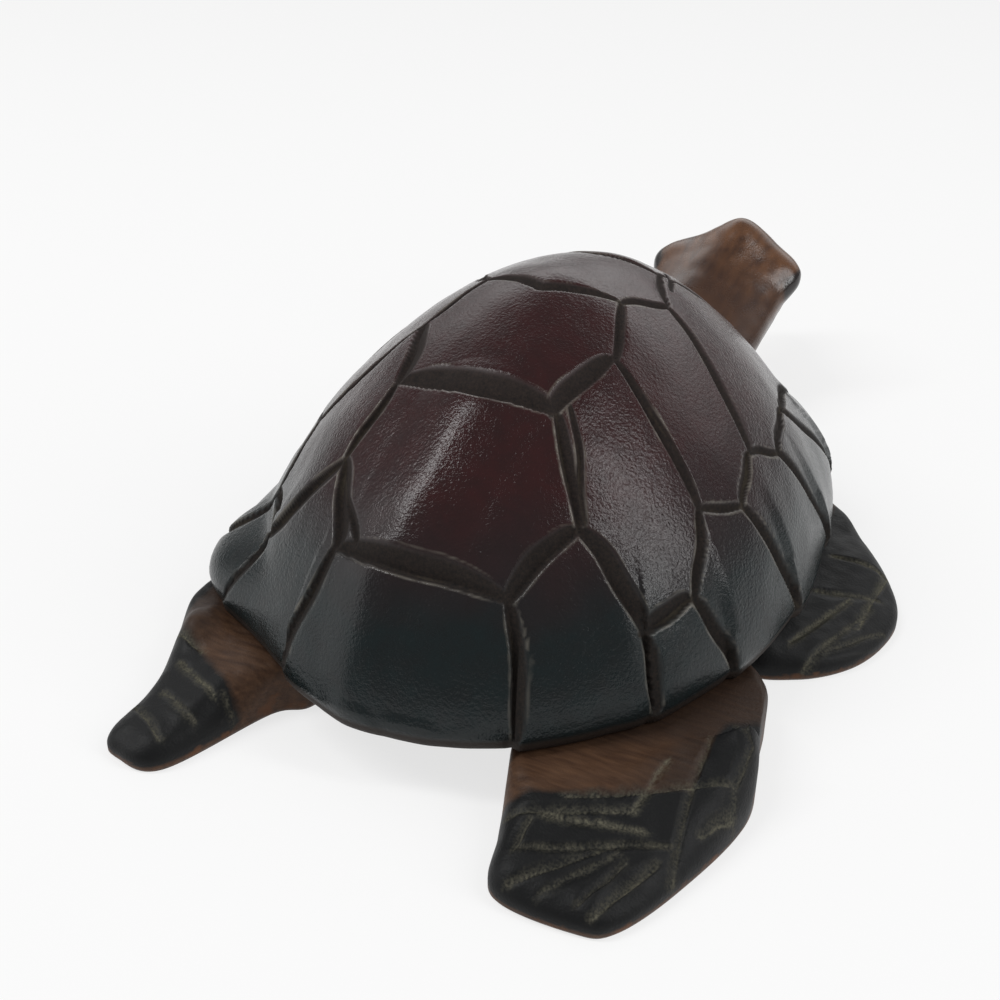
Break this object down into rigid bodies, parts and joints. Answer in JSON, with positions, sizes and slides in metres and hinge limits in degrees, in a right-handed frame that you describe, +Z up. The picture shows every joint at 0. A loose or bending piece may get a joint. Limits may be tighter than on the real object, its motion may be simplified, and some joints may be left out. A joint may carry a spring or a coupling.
{
  "type": "turtle figurine",
  "caption": "Carved wooden turtle ornament: a domed shell with incised scutes, flippers flat on the ground and a raised head, in dark lacquer.",
  "frame": {"origin": "centre of the footprint's bounding box, on the ground", "axes": "+Z up, +Y towards the head, +X towards the turtle's right side"},
  "size_m": [0.0948, 0.1488, 0.0465],
  "materials": {
    "shell_lacquer": "glossy burgundy lacquer shading to dark green at the rim",
    "belly_wood": "satin brown wood",
    "head_wood": "satin warm brown wood",
    "flipper_stain": "black stained wood with incised lines",
    "peg_wood": "bare hardwood"
  },
  "bodies": {
    "root": {"carapace": "shell_lacquer", "plastron": "belly_wood", "head_and_neck": "head_wood", "neck_dowel": "peg_wood", "belly_pegs": "peg_wood", "front_right_flipper": "flipper_stain", "front_left_flipper": "flipper_stain", "rear_right_flipper": "flipper_stain", "rear_left_flipper": "flipper_stain", "front_right_dowel": "peg_wood", "front_left_dowel": "peg_wood", "rear_right_dowel": "peg_wood", "rear_left_dowel": "peg_wood"}
  },
  "joints": []
}
